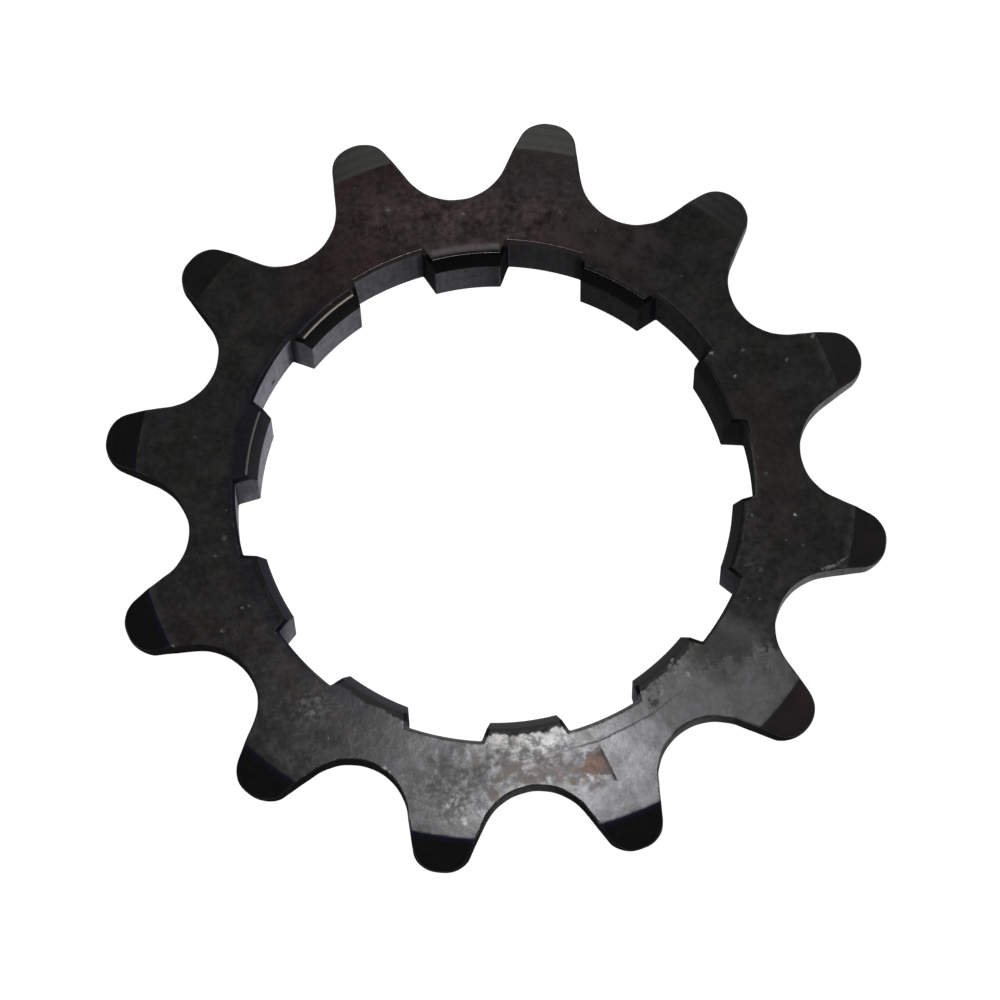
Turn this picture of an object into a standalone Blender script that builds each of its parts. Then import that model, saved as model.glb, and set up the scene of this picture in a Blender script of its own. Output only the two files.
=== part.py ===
"""Cassette cog: a one-piece twelve-tooth rear sprocket with an integral boss.

The cog lies flat on its boss with the toothed plate on top, as it would be
put down on a bench. Its axis is +Z, and the origin is on that axis in the
plane of the boss's end face. A tooth gap and a spline lug share the +Y axis.

It is made the way the real one is: a turned blank, the teeth formed through
it, and the spline broached through its bore.
"""

import math

import bmesh
import bpy
from mathutils import Vector

MM = 0.001

# ---------------------------------------------------------------- dimensions
# Chain and teeth (millimetres, degrees)
CHAIN_PITCH = 12.7          # half-inch chain
TEETH = 12
R_PITCH = CHAIN_PITCH / 2.0 / math.sin(math.pi / TEETH)
R_ROOT = 20.66              # bottom of the tooth gaps
R_SEAT = R_PITCH - R_ROOT   # radius of a roller seat
SEAT_HALF_ANGLE = 58.9      # where the seat runs into the straight flank
R_TIP = 26.45               # outside radius
R_TIP_CORNER = 1.85         # rounding of the tooth's two corners in plan

# Toothed plate, from its front (top) face
T_PLATE = 1.70
R_BEVEL = 24.15             # front bevel starts here
BEVEL_DROP = 0.72           # and has fallen this far at the tip
R_BACK_BEVEL = 25.30        # back bevel starts here
BACK_BEVEL_RISE = 0.75      # and has risen this far at the tip

# Boss behind the plate
T_TOTAL = 5.40              # front face to the boss's end face
R_BOSS = 19.50
BOSS_CHAMFER = 0.30
BOSS_FILLET = 0.30          # corner between boss and plate

# Spline bore
LUGS = 10
R_BORE = 17.42              # bore between the lugs
R_LUG = 15.96               # lug inner faces
LUG_HALF_ROOT = 2.93        # half width of a lug where it meets the bore
LUG_HALF_TIP = 2.22         # half width of a lug at its inner face
LUG_CHAMFER_R = 0.70        # front chamfer of the lugs, radially
LUG_CHAMFER_Z = 0.86        # and along the axis
LUG_BACK_BREAK = 0.18       # edge break of the lugs at the back
BORE_BREAK = 0.20           # edge break of the bore and the lug flanks

TURNED_STEPS = 120          # facets round a turned surface


# ------------------------------------------------------------------- helpers
def clear_scene():
    for obj in list(bpy.data.objects):
        bpy.data.objects.remove(obj, do_unlink=True)
    for coll in list(bpy.data.collections):
        bpy.data.collections.remove(coll)


def new_collection(name):
    coll = bpy.data.collections.new(name)
    bpy.context.scene.collection.children.link(coll)
    return coll


def polar(radius, angle):
    return Vector((radius * math.cos(angle), radius * math.sin(angle)))


def arc(centre, radius, start, end, count):
    """count + 1 points on an arc, both ends included."""
    return [centre + polar(radius, start + (end - start) * i / count)
            for i in range(count + 1)]


def steel_material(name):
    mat = bpy.data.materials.new(name)
    mat.use_nodes = True
    bsdf = mat.node_tree.nodes["Principled BSDF"]
    bsdf.inputs["Base Color"].default_value = (0.030, 0.027, 0.026, 1.0)
    bsdf.inputs["Metallic"].default_value = 0.85
    bsdf.inputs["Roughness"].default_value = 0.42
    return mat


def prism_from_outline(name, points, z_low, z_high, coll):
    """A closed flat outline as a 2D curve, extruded, then made a mesh."""
    curve = bpy.data.curves.new(name + "_curve", "CURVE")
    curve.dimensions = "2D"
    curve.fill_mode = "BOTH"
    spline = curve.splines.new("POLY")
    spline.points.add(len(points) - 1)
    for point, co in zip(spline.points, points):
        point.co = (co.x * MM, co.y * MM, 0.0, 1.0)
    spline.use_cyclic_u = True
    curve.extrude = (z_high - z_low) / 2.0 * MM
    holder = bpy.data.objects.new(name + "_outline", curve)
    coll.objects.link(holder)
    holder.location.z = (z_high + z_low) / 2.0 * MM
    bpy.context.view_layer.update()

    depsgraph = bpy.context.evaluated_depsgraph_get()
    mesh = bpy.data.meshes.new_from_object(holder.evaluated_get(depsgraph))
    bm = bmesh.new()
    bm.from_mesh(mesh)
    bmesh.ops.remove_doubles(bm, verts=bm.verts, dist=0.000001)
    bmesh.ops.recalc_face_normals(bm, faces=bm.faces)
    bm.to_mesh(mesh)
    bm.free()
    obj = bpy.data.objects.new(name, mesh)
    coll.objects.link(obj)
    obj.matrix_world = holder.matrix_world.copy()
    bpy.data.objects.remove(holder, do_unlink=True)
    obj.hide_render = True
    obj.display_type = "WIRE"
    return obj


def add_boolean(obj, cutter, operation):
    mod = obj.modifiers.new(cutter.name, "BOOLEAN")
    mod.operation = operation
    mod.solver = "EXACT"
    mod.object = cutter


# ------------------------------------------------------------ the tooth form
def half_tooth():
    """Half a tooth, from the middle of a gap to the middle of the tip.

    The gap's middle is on +Y here and the tooth is towards -X. The roller
    seat is an arc about a roller's centre on the pitch circle, the flank runs
    straight off its end, and a corner arc joins flank and tip circle.
    """
    phi = math.radians(SEAT_HALF_ANGLE)
    roller = Vector((0.0, R_PITCH))
    seat = arc(roller, R_SEAT, -math.pi / 2, -math.pi / 2 - phi, 8)
    start = seat[-1]
    along = Vector((-math.cos(phi), math.sin(phi)))
    inward = Vector((-math.sin(phi), -math.cos(phi)))   # into the tooth

    # Corner centre: start + along * s + inward * r, at R_TIP - r from the axis
    base = start + inward * R_TIP_CORNER
    b = base.dot(along)
    c = base.length_squared - (R_TIP - R_TIP_CORNER) ** 2
    s = -b + math.sqrt(b * b - c)
    corner = base + along * s
    a_start = math.atan2(-inward.y, -inward.x)
    a_end = math.atan2(corner.y, corner.x)
    corner_arc = arc(corner, R_TIP_CORNER, a_start, a_end, 6)

    a_mid = math.pi / 2 + math.pi / TEETH
    tip = arc(Vector((0.0, 0.0)), R_TIP, a_end, a_mid, 2)
    return seat + corner_arc + tip[1:]


def tooth_outline():
    """All teeth, counter-clockwise, starting at the gap on +Y."""
    half = half_tooth()
    pitch = 2 * math.pi / TEETH
    mirror_axis = math.pi / 2 + pitch / 2
    other = []
    for p in reversed(half[1:-1]):
        a = 2 * mirror_axis - math.atan2(p.y, p.x)
        other.append(polar(p.length, a))
    one = half + other
    points = []
    for k in range(TEETH):
        for p in one:
            points.append(polar(p.length, math.atan2(p.y, p.x) + k * pitch))
    return points


# -------------------------------------------------------------- the spline
def spline_outline():
    """The broached opening: bore arcs with ten inward wedge-sided notches.

    The notches run on past the lugs' inner faces, which are turned.
    """
    root = Vector((LUG_HALF_ROOT, math.sqrt(R_BORE ** 2 - LUG_HALF_ROOT ** 2)))
    tip = Vector((LUG_HALF_TIP, math.sqrt(R_LUG ** 2 - LUG_HALF_TIP ** 2)))
    inner = tip + (tip - root) * 0.6
    a_root = math.atan2(root.x, root.y)
    a_inner = math.atan2(inner.x, inner.y)
    pitch = 2 * math.pi / LUGS
    points = []
    for k in range(LUGS):
        mid = math.pi / 2 + k * pitch          # lug centre line
        # inside the lug, from its clockwise side to the other
        points += [polar(inner.length, mid - a_inner),
                   polar(inner.length, mid + a_inner)]
        # the bore from this lug to the next
        points += arc(Vector((0.0, 0.0)), R_BORE,
                      mid + a_root, mid + pitch - a_root, 6)
    return points


def flare_ends(obj, z_top, z_bottom, amount, reach):
    """Widen both ends of a cutter so that it breaks the edges it leaves.

    The end loops at z_top and z_bottom grow about the axis, by amount at the
    part's face, which lies reach inside the cutter's end.
    """
    mesh = obj.data
    bm = bmesh.new()
    bm.from_mesh(mesh)
    grow = amount * (amount + reach) / amount
    factor = 1.0 + grow / R_BORE
    offset = obj.matrix_world.translation.z
    for z_end, z_cut in ((z_top, z_top - reach - amount),
                         (z_bottom, z_bottom + reach + amount)):
        geom = bm.verts[:] + bm.edges[:] + bm.faces[:]
        bmesh.ops.bisect_plane(
            bm, geom=geom, dist=1e-9,
            plane_co=(0.0, 0.0, z_cut * MM - offset), plane_no=(0.0, 0.0, 1.0))
        for vert in bm.verts:
            if abs(vert.co.z + offset - z_end * MM) < 1e-7:
                vert.co.x *= factor
                vert.co.y *= factor
    bmesh.ops.recalc_face_normals(bm, faces=bm.faces)
    bm.to_mesh(mesh)
    bm.free()


# --------------------------------------------------------- the turned blank
def blank_profile():
    """Section of the blank at +X, from the front of the bore outwards, down
    the outer side, back along the boss and up the bore."""
    z_top = T_TOTAL
    z_back = T_TOTAL - T_PLATE
    r_out = R_TIP + 0.10                      # the teeth are cut just inside
    top_slope = BEVEL_DROP / (R_TIP - R_BEVEL)
    back_slope = BACK_BEVEL_RISE / (R_TIP - R_BACK_BEVEL)
    return [
        (R_LUG + LUG_CHAMFER_R, z_top),
        (R_BEVEL, z_top),
        (r_out, z_top - top_slope * (r_out - R_BEVEL)),
        (r_out, z_back + back_slope * (r_out - R_BACK_BEVEL)),
        (R_BACK_BEVEL, z_back),
        (R_BOSS + BOSS_FILLET, z_back),
        (R_BOSS, z_back - BOSS_FILLET),
        (R_BOSS, BOSS_CHAMFER),
        (R_BOSS - BOSS_CHAMFER, 0.0),
        (R_LUG + LUG_BACK_BREAK, 0.0),
        (R_LUG, LUG_BACK_BREAK),
        (R_LUG, z_top - LUG_CHAMFER_Z),
    ]


def turned_blank(name, coll):
    profile = blank_profile()
    mesh = bpy.data.meshes.new(name)
    verts = [(r * MM, 0.0, z * MM) for r, z in profile]
    edges = [(i, (i + 1) % len(verts)) for i in range(len(verts))]
    mesh.from_pydata(verts, edges, [])
    obj = bpy.data.objects.new(name, mesh)
    coll.objects.link(obj)
    # half a facet round, so that no seam falls on a gap's or a tooth's middle
    obj.rotation_euler.z = math.pi / TURNED_STEPS
    screw = obj.modifiers.new("turned", "SCREW")
    screw.axis = "Z"
    screw.angle = math.radians(360.0)
    screw.steps = TURNED_STEPS
    screw.render_steps = TURNED_STEPS
    screw.use_merge_vertices = True
    screw.merge_threshold = 0.000001
    screw.use_smooth_shade = True
    return obj


# --------------------------------------------------------------------- build
def build():
    clear_scene()
    parts = new_collection("cassette_cog")
    tools = new_collection("cutters")

    cog = turned_blank("cog", parts)

    teeth = prism_from_outline("tooth_form", tooth_outline(),
                               -1.0, T_TOTAL + 1.0, tools)
    spline = prism_from_outline("spline_form", spline_outline(),
                                -1.0, T_TOTAL + 1.0, tools)
    flare_ends(spline, T_TOTAL + 1.0, -1.0, BORE_BREAK, 1.0)

    add_boolean(cog, teeth, "INTERSECT")
    add_boolean(cog, spline, "DIFFERENCE")

    cog.data.materials.append(steel_material("blackened_steel"))
    cog.data.shade_smooth()
    cog.data.set_sharp_from_angle(angle=math.radians(25.0))
    smooth = cog.modifiers.new("weighted", "WEIGHTED_NORMAL")
    smooth.keep_sharp = True
    return cog


build()
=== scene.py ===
"""Looks of the cassette cog: camera, light, the fine steel surface and its finish."""

import math

import bpy
import numpy as np
from mathutils import Matrix, Vector


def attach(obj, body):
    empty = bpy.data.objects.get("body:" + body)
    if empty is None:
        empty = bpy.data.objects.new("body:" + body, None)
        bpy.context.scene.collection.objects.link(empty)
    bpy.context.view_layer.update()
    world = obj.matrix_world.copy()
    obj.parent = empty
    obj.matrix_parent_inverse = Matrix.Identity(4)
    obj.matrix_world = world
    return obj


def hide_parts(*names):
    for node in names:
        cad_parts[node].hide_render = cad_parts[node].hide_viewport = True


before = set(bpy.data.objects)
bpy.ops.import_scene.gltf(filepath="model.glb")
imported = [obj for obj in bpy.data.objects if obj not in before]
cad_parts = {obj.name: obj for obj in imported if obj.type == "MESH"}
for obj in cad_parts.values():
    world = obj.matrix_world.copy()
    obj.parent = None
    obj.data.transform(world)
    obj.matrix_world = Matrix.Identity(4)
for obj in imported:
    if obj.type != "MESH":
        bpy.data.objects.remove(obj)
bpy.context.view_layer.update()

MM = 0.001
TAU = 2.0 * math.pi

# ------------------------------------------------------------------ the form
# Sizes in millimetres, the same as the solid's
PITCH = 12.7
TEETH = 12
R_PITCH = PITCH / 2.0 / math.sin(math.pi / TEETH)
R_ROOT = 20.66
R_SEAT = R_PITCH - R_ROOT
SEAT_HALF = math.radians(58.9)
R_TIP = 26.45
R_CORNER = 1.85

Z_FRONT = 5.40
Z_BACK = 3.70
R_BEVEL = 24.15
BEVEL_SLOPE = 0.72 / (R_TIP - R_BEVEL)
R_BACK_BEVEL = 25.30
BACK_SLOPE = 0.75 / (R_TIP - R_BACK_BEVEL)

R_BOSS = 19.50
BOSS_CHAMFER = 0.30
BOSS_FILLET = 0.30

LUGS = 10
R_BORE = 17.42
R_LUG = 15.96
LUG_HALF_ROOT = 2.93
LUG_HALF_TIP = 2.22
LUG_CHAMFER_R = 0.70
LUG_CHAMFER_Z = 0.86
BORE_BREAK = 0.20
LUG_BACK_BREAK = 0.18


def arc_points(cx, cy, r, a0, a1, step):
    n = max(2, int(math.ceil(abs(a1 - a0) * r / step)))
    a = np.linspace(a0, a1, n + 1)
    return np.stack([cx + r * np.cos(a), cy + r * np.sin(a)], 1)


def line_points(p, q, step):
    n = max(2, int(math.ceil(math.dist(p, q) / step)))
    t = np.linspace(0.0, 1.0, n + 1)[:, None]
    return (1 - t) * np.array(p) + t * np.array(q)


def half_tooth(step):
    """From the middle of the gap on +Y to the middle of the tip at its left."""
    seat = arc_points(0.0, R_PITCH, R_SEAT, -math.pi / 2,
                      -math.pi / 2 - SEAT_HALF, step)
    start = seat[-1]
    along = np.array([-math.cos(SEAT_HALF), math.sin(SEAT_HALF)])
    inward = np.array([-math.sin(SEAT_HALF), -math.cos(SEAT_HALF)])
    base = start + inward * R_CORNER
    b = base @ along
    c = base @ base - (R_TIP - R_CORNER) ** 2
    s = -b + math.sqrt(b * b - c)
    corner = base + along * s
    flank = line_points(start, start + along * s, step)
    a0 = math.atan2(-inward[1], -inward[0])
    a1 = math.atan2(corner[1], corner[0])
    round_ = arc_points(corner[0], corner[1], R_CORNER, a0, a1, step)
    tip = arc_points(0.0, 0.0, R_TIP, a1, math.pi / 2 + math.pi / TEETH, step)
    return np.concatenate([seat, flank[1:], round_[1:], tip[1:]])


def tooth_ring(step):
    half = half_tooth(step)
    a = np.arctan2(half[:, 1], half[:, 0])
    r = np.hypot(half[:, 0], half[:, 1])
    mid = math.pi / 2 + math.pi / TEETH
    a_all = np.concatenate([a, 2 * mid - a[-2:0:-1]])
    r_all = np.concatenate([r, r[-2:0:-1]])
    out = []
    for k in range(TEETH):
        ak = a_all + k * TAU / TEETH
        out.append(np.stack([r_all * np.cos(ak), r_all * np.sin(ak)], 1))
    return np.concatenate(out)


def outward_normals(p):
    """Unit normals of a closed counter-clockwise loop, pointing outwards."""
    d = np.roll(p, -1, 0) - np.roll(p, 1, 0)
    n = np.stack([d[:, 1], -d[:, 0]], 1)
    return n / np.linalg.norm(n, axis=1, keepdims=True)


def spline_radius(theta, grow):
    """Radius of the broached opening at polar angles theta.

    The wedge flanks run on inwards past the lugs' inner faces, and grow
    widens the opening evenly, for the edge breaks at its two ends.
    """
    fillet = 0.13
    root = np.array([LUG_HALF_ROOT, math.sqrt(R_BORE ** 2 - LUG_HALF_ROOT ** 2)])
    tip = np.array([LUG_HALF_TIP, math.sqrt(R_LUG ** 2 - LUG_HALF_TIP ** 2)])
    d = (tip - root) / np.linalg.norm(tip - root)     # inwards along the flank
    n = np.array([-d[1], d[0]])                       # away from the lug's middle
    if n[0] < 0:
        n = -n
    rb = R_BORE + grow
    # the flank moved into the lug by grow, and a fillet between it and the bore
    p0 = root - n * grow
    q0 = p0 + n * fillet
    b = q0 @ d
    c = q0 @ q0 - (rb - fillet) ** 2
    s = -b - math.sqrt(b * b - c)
    centre = q0 + d * s
    touch = centre - n * fillet
    a_line = math.atan2(touch[0], touch[1])
    a_arc = math.atan2(centre[0], centre[1])
    pitch = TAU / LUGS
    rel = np.abs((theta - math.pi / 2 + pitch / 2) % pitch - pitch / 2)
    # ray from the axis against the flank line, the fillet and the bore
    ux, uy = np.sin(rel), np.cos(rel)
    den = ux * n[0] + uy * n[1]
    line = (p0 @ n) / np.where(np.abs(den) < 1e-9, 1e-9, den)
    bq = ux * centre[0] + uy * centre[1]
    disc = np.maximum(bq * bq - (centre @ centre - fillet ** 2), 0.0)
    fil = bq + np.sqrt(disc)
    r = np.where(rel >= a_arc, rb, np.where(rel >= a_line, fil, line))
    return r, rel


def smooth_max(a, b, k):
    h = np.clip(0.5 + 0.5 * (a - b) / k, 0.0, 1.0)
    return b * (1 - h) + a * h + k * h * (1 - h)


def front_z(r):
    """Height of the plate's front, flat and then the turned tip bevel."""
    soft = 0.03
    x = r - R_BEVEL
    return Z_FRONT - BEVEL_SLOPE * 0.5 * (x + np.sqrt(x * x + soft * soft))


def back_z(r):
    soft = 0.03
    x = r - R_BACK_BEVEL
    return Z_BACK + BACK_SLOPE * 0.5 * (x + np.sqrt(x * x + soft * soft))


def wobble(a, seed, waves, amp):
    """A smooth closed ripple round the part, from a few seeded sines."""
    rng = np.random.default_rng(seed)
    out = np.zeros_like(a)
    for w in waves:
        out += rng.normal() * np.sin(w * a + rng.uniform(0, TAU))
    return amp * out / math.sqrt(len(waves))


class Shell:
    """Collects rings of points and the faces between them."""

    def __init__(self):
        self.points, self.faces, self.count = [], [], 0

    def ring(self, x, y, z):
        z = np.broadcast_to(z, x.shape)
        self.points.append(np.stack([x, y, z], 1))
        start = self.count
        self.count += len(x)
        return np.arange(start, start + len(x))

    def join(self, a, b):
        """Quads between two rings with the same number of points."""
        a2, b2 = np.roll(a, -1), np.roll(b, -1)
        self.faces.extend(np.stack([a, a2, b2, b], 1).tolist())

    def zip(self, a, b):
        """Triangles between two rings of different counts, by angle."""
        pts = np.concatenate(self.points)
        ang = lambda ids: np.arctan2(pts[ids, 1], pts[ids, 0])

        def ordered(ids):
            t = ang(ids)
            k = int(np.argmin(t))
            ids = np.roll(ids, -k)
            t = np.roll(t, -k)
            return (np.append(ids, ids[0]), np.append(t, t[0] + TAU))

        ia, ta = ordered(a)
        ib, tb = ordered(b)
        i = j = 0
        while i < len(ia) - 1 or j < len(ib) - 1:
            if j == len(ib) - 1 or (i < len(ia) - 1 and ta[i + 1] <= tb[j + 1]):
                self.faces.append([int(ia[i]), int(ia[i + 1]), int(ib[j])])
                i += 1
            else:
                self.faces.append([int(ia[i]), int(ib[j + 1]), int(ib[j])])
                j += 1


def build_cog():
    """The whole surface as rings: up the bore, over the front, down the tooth
    walls, back along the plate, down the boss and across its end face."""
    shell = Shell()

    # ---- outer stations follow the tooth outline
    base = tooth_ring(0.19)
    normal = outward_normals(base)
    polar = np.arctan2(base[:, 1], base[:, 0])
    r_base = np.hypot(base[:, 0], base[:, 1])
    step = np.roll(base, -1, 0) - base
    run = np.cumsum(np.hypot(step[:, 0], step[:, 1]))
    run = run / run[-1] * TAU                       # closed arc-length angle
    edge = 0.085 + wobble(run, 3, (31, 57, 83, 119, 171, 203), 0.018)
    edge = np.clip(edge, 0.04, 0.15)
    drift = wobble(run, 4, (19, 37, 71, 113, 149), 0.006) - 0.016

    def rim(delta):
        p = base - normal * (np.asarray(delta)[:, None]
                             if np.ndim(delta) else delta)
        return p[:, 0], p[:, 1]

    rings = []
    # front, from a circle outwards to the edge's rounding
    r_in = 20.18
    knee = np.minimum(R_BEVEL, r_base - 0.32)
    for t in (0.0, 0.14, 0.32, 0.55, 0.80, 0.97, 1.0):
        r = r_in + (knee - r_in) * t
        rings.append((r * np.cos(polar), r * np.sin(polar), front_z(r)))
    kx, ky = knee * np.cos(polar), knee * np.sin(polar)
    ex, ey = rim(edge + 0.03 - drift)
    for t in (0.04, 0.25, 0.5, 0.75, 1.0):
        x, y = kx + (ex - kx) * t, ky + (ey - ky) * t
        rings.append((x, y, front_z(np.hypot(x, y))))
    for a in (0.0, 22.0, 45.0, 68.0, 90.0):
        s, c = math.sin(math.radians(a)), math.cos(math.radians(a))
        x, y = rim(edge * (1 - s) - drift)
        rings.append((x, y, front_z(np.hypot(x, y)) - edge * (1 - c)))
    # tooth wall
    top = rings[-1][2]
    low_edge = np.minimum(edge, 0.09)
    r_wall = np.hypot(*rim(-drift))
    bottom = back_z(r_wall) + low_edge
    bottom = np.minimum(bottom, top - 0.03)
    for t in (0.03, 0.2, 0.4, 0.6, 0.8, 0.97):
        x, y = rim(-drift)
        rings.append((x, y, top + (bottom - top) * t))
    # lower edge and the plate's back
    for a in (0.0, 30.0, 60.0, 90.0):
        s, c = math.sin(math.radians(a)), math.cos(math.radians(a))
        x, y = rim(low_edge * (1 - c) - drift)
        zb = back_z(np.hypot(x, y)) + low_edge * (1 - s)
        rings.append((x, y, np.minimum(zb, bottom)))
    x0, y0 = rim(low_edge + 0.03 - drift)
    back_knee = np.minimum(R_BACK_BEVEL, r_base - 0.32)
    kx, ky = back_knee * np.cos(polar), back_knee * np.sin(polar)
    for t in (0.0, 0.35, 0.7, 0.97, 1.0):
        x, y = x0 + (kx - x0) * t, y0 + (ky - y0) * t
        rings.append((x, y, back_z(np.hypot(x, y))))
    for t in (0.05, 0.3, 0.65, 1.0):
        r = back_knee + (r_in - back_knee) * t
        rings.append((r * np.cos(polar), r * np.sin(polar), back_z(r)))
    ids = [shell.ring(*r) for r in rings]
    for a, b in zip(ids[:-1], ids[1:]):
        shell.join(b, a)
    front_outer, back_outer = ids[0], ids[-1]

    # ---- inner stations: even, and close together on the lug flanks
    pitch = TAU / LUGS
    lo, hi = math.radians(6.9), math.radians(11.4)
    one = np.concatenate([np.linspace(-lo, lo, 21)[:-1],
                          np.linspace(lo, hi, 28)[:-1],
                          np.linspace(hi, pitch - hi, 17)[:-1],
                          np.linspace(pitch - hi, pitch - lo, 28)[:-1]])
    th = np.concatenate([math.pi / 2 + one + k * pitch for k in range(LUGS)])
    ct, st = np.cos(th), np.sin(th)

    def bore(z, grow, clip):
        r, rel = spline_radius(th, grow)
        r = smooth_max(r, np.full_like(r, clip), 0.07)
        return r

    inner = []
    # boss end face, from its outside in to the bore
    inner.append((R_BOSS - BOSS_CHAMFER - 0.04 + 0 * th, 0.0))
    r_face, _ = spline_radius(th, BORE_BREAK)
    r_face = smooth_max(r_face, np.full_like(r_face, R_LUG + LUG_BACK_BREAK), 0.05)
    for t in (0.25, 0.5, 0.75, 0.95, 1.0):
        inner.append((R_BOSS - BOSS_CHAMFER - 0.04
                      + (r_face - (R_BOSS - BOSS_CHAMFER - 0.04)) * t, 0.0))
    # up the bore
    for z in (0.03, 0.07, 0.12, 0.17, 0.20, 0.24):
        grow = max(BORE_BREAK - z, 0.0) ** 1.2 / BORE_BREAK ** 0.2
        clip = R_LUG + max(LUG_BACK_BREAK - z, 0.0)
        inner.append((bore(z, grow, clip), z))
    z_ch = Z_FRONT - LUG_CHAMFER_Z
    for z in np.linspace(0.7, z_ch - 0.10, 8):
        inner.append((bore(z, 0.0, R_LUG), z))
    for z in (z_ch - 0.04, z_ch, z_ch + 0.04):
        c = R_LUG + LUG_CHAMFER_R * max(0.0, (z - z_ch + 0.02)) / LUG_CHAMFER_Z
        inner.append((bore(z, 0.0, c), z))
    z_br = Z_FRONT - BORE_BREAK
    for z in np.concatenate([np.linspace(z_ch + 0.14, z_br - 0.03, 6),
                             [z_br, z_br + 0.03, z_br + 0.08, z_br + 0.13,
                              z_br + 0.17]]):
        c = R_LUG + LUG_CHAMFER_R * (z - z_ch) / LUG_CHAMFER_Z
        grow = max(z - z_br, 0.0)
        inner.append((bore(z, grow, c), z))
    # round the front edge of the bore on to the front face
    r_a = bore(0, BORE_BREAK - 0.01, R_LUG + LUG_CHAMFER_R - 0.01)
    r_b = bore(0, BORE_BREAK + 0.02, R_LUG + LUG_CHAMFER_R + 0.03)
    r_c = bore(0, BORE_BREAK + 0.06, R_LUG + LUG_CHAMFER_R + 0.08)
    inner.append((r_a, Z_FRONT - 0.018))
    inner.append((r_b, Z_FRONT - 0.004))
    inner.append((r_c, Z_FRONT))
    for t in (0.05, 0.25, 0.5, 0.8, 1.0):
        inner.append((r_c + (20.05 - r_c) * t, Z_FRONT))
    ids_in = [shell.ring(r * ct, r * st, z) for r, z in inner]
    for a, b in zip(ids_in[:-1], ids_in[1:]):
        shell.join(b, a)
    shell.zip(front_outer, ids_in[-1])

    # ---- the boss: chamfer, wall and fillet, then along the plate's back
    profile = [(R_BOSS - BOSS_CHAMFER + 0.01, 0.008),
               (R_BOSS - 0.5 * BOSS_CHAMFER, 0.5 * BOSS_CHAMFER),
               (R_BOSS - 0.01, BOSS_CHAMFER - 0.01),
               (R_BOSS, BOSS_CHAMFER + 0.04)]
    for z in np.linspace(0.8, Z_BACK - BOSS_FILLET - 0.05, 6):
        profile.append((R_BOSS, z))
    for a in np.linspace(0.0, math.pi / 2, 6):
        profile.append((R_BOSS + BOSS_FILLET * (1 - math.cos(a)),
                        Z_BACK - BOSS_FILLET + BOSS_FILLET * math.sin(a)))
    profile.append((20.02, Z_BACK))
    th_b = np.linspace(0.0, TAU, 540, endpoint=False)
    ids_b = [shell.ring(r * np.cos(th_b), r * np.sin(th_b), z)
             for r, z in profile]
    for a, b in zip(ids_b[:-1], ids_b[1:]):
        shell.join(a, b)
    shell.zip(ids_in[0], ids_b[0])
    shell.zip(ids_b[-1], back_outer)

    pts = np.concatenate(shell.points) * MM
    mesh = bpy.data.meshes.new("cog_surface")
    mesh.from_pydata(pts.tolist(), [], shell.faces)
    mesh.validate()
    mesh.update()
    return mesh


cog_mesh = build_cog()
cog = bpy.data.objects.new("cog_surface", cog_mesh)
bpy.context.scene.collection.objects.link(cog)
cog_mesh.shade_smooth()


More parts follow.
